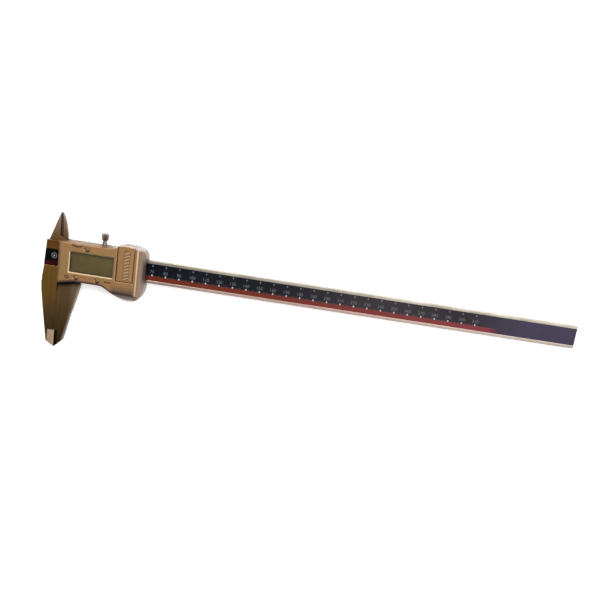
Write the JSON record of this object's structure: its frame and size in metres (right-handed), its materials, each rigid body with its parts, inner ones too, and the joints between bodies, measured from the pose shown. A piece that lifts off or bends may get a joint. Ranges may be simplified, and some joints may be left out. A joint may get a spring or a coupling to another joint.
{
  "type": "digital caliper",
  "caption": "Electronic sliding caliper with a long steel beam, outside and inside jaws, display housing, buttons, battery door and lock screw.",
  "frame": {"origin": "where the zero plane of the fixed jaws meets the beam's centre line, dropped to the plane the tool rests on", "axes": "+X along the beam towards its free end, +Y towards the inside jaws, +Z out of the display"},
  "size_m": [0.3961, 0.1025, 0.0145],
  "materials": {
    "beam_steel": "satin",
    "slider_steel": "satin",
    "film_print": "semi-gloss",
    "circuit": "solder mask",
    "cover_metal": "satin champagne",
    "button_metal": "satin champagne",
    "plate_steel": "brushed",
    "screw_steel": "turned",
    "bronze": "satin",
    "holder_plastic": "moulded",
    "contact_rubber": "silicone",
    "lcd_glass": "reflective display glass",
    "window_clear": "polished",
    "cell_steel": "polished",
    "chip_resin": "potting resin"
  },
  "bodies": {
    "beam": {"beam": "beam_steel", "scale_circuit": "circuit", "scale_film": "film_print", "end_stop": "plate_steel", "end_stop_screws": "screw_steel"},
    "slider": {"slider_frame": "slider_steel", "gib_strip": "bronze", "gib_screws": "screw_steel", "back_plate": "plate_steel", "back_plate_screws": "screw_steel", "depth_rod": "plate_steel", "depth_rod_screws": "screw_steel", "front_cover": "cover_metal", "cover_screws": "screw_steel", "circuit_board": "circuit", "board_screws": "screw_steel", "driver_chip": "chip_resin", "switch_domes": "plate_steel", "lcd_holder": "holder_plastic", "lcd_contact_strips": "contact_rubber", "lcd_panel": "lcd_glass", "lcd_window": "window_clear", "battery_cell": "cell_steel", "battery_spring": "bronze", "battery_clip": "bronze"},
    "lock_screw": {"lock_screw": "screw_steel"},
    "mode_button": {"mode_button": "button_metal"},
    "power_button": {"power_button": "button_metal"},
    "zero_button": {"zero_button": "button_metal"},
    "battery_door": {"battery_door": "cover_metal"}
  },
  "joints": [
    {"name": "slider_slide", "type": "slide", "parent": "beam", "child": "slider", "axis": [1, 0, 0], "range_m": [0, 0.3]},
    {"name": "lock_turn", "type": "hinge", "parent": "slider", "child": "lock_screw", "pos_m": [0.0325, 0.02, 0.0035], "axis": [0, 1, 0], "range_deg": [-180, 180]},
    {"name": "mode_press", "type": "slide", "parent": "slider", "child": "mode_button", "axis": [0, 0, -1], "range_m": [0, 0.0004], "stiffness_N_per_m": 1500},
    {"name": "power_press", "type": "slide", "parent": "slider", "child": "power_button", "axis": [0, 0, -1], "range_m": [0, 0.0004], "stiffness_N_per_m": 1500},
    {"name": "zero_press", "type": "slide", "parent": "slider", "child": "zero_button", "axis": [0, 0, -1], "range_m": [0, 0.0004], "stiffness_N_per_m": 1500},
    {"name": "door_slide", "type": "slide", "parent": "slider", "child": "battery_door", "axis": [0, 1, 0], "range_m": [0, 0.028]}
  ]
}
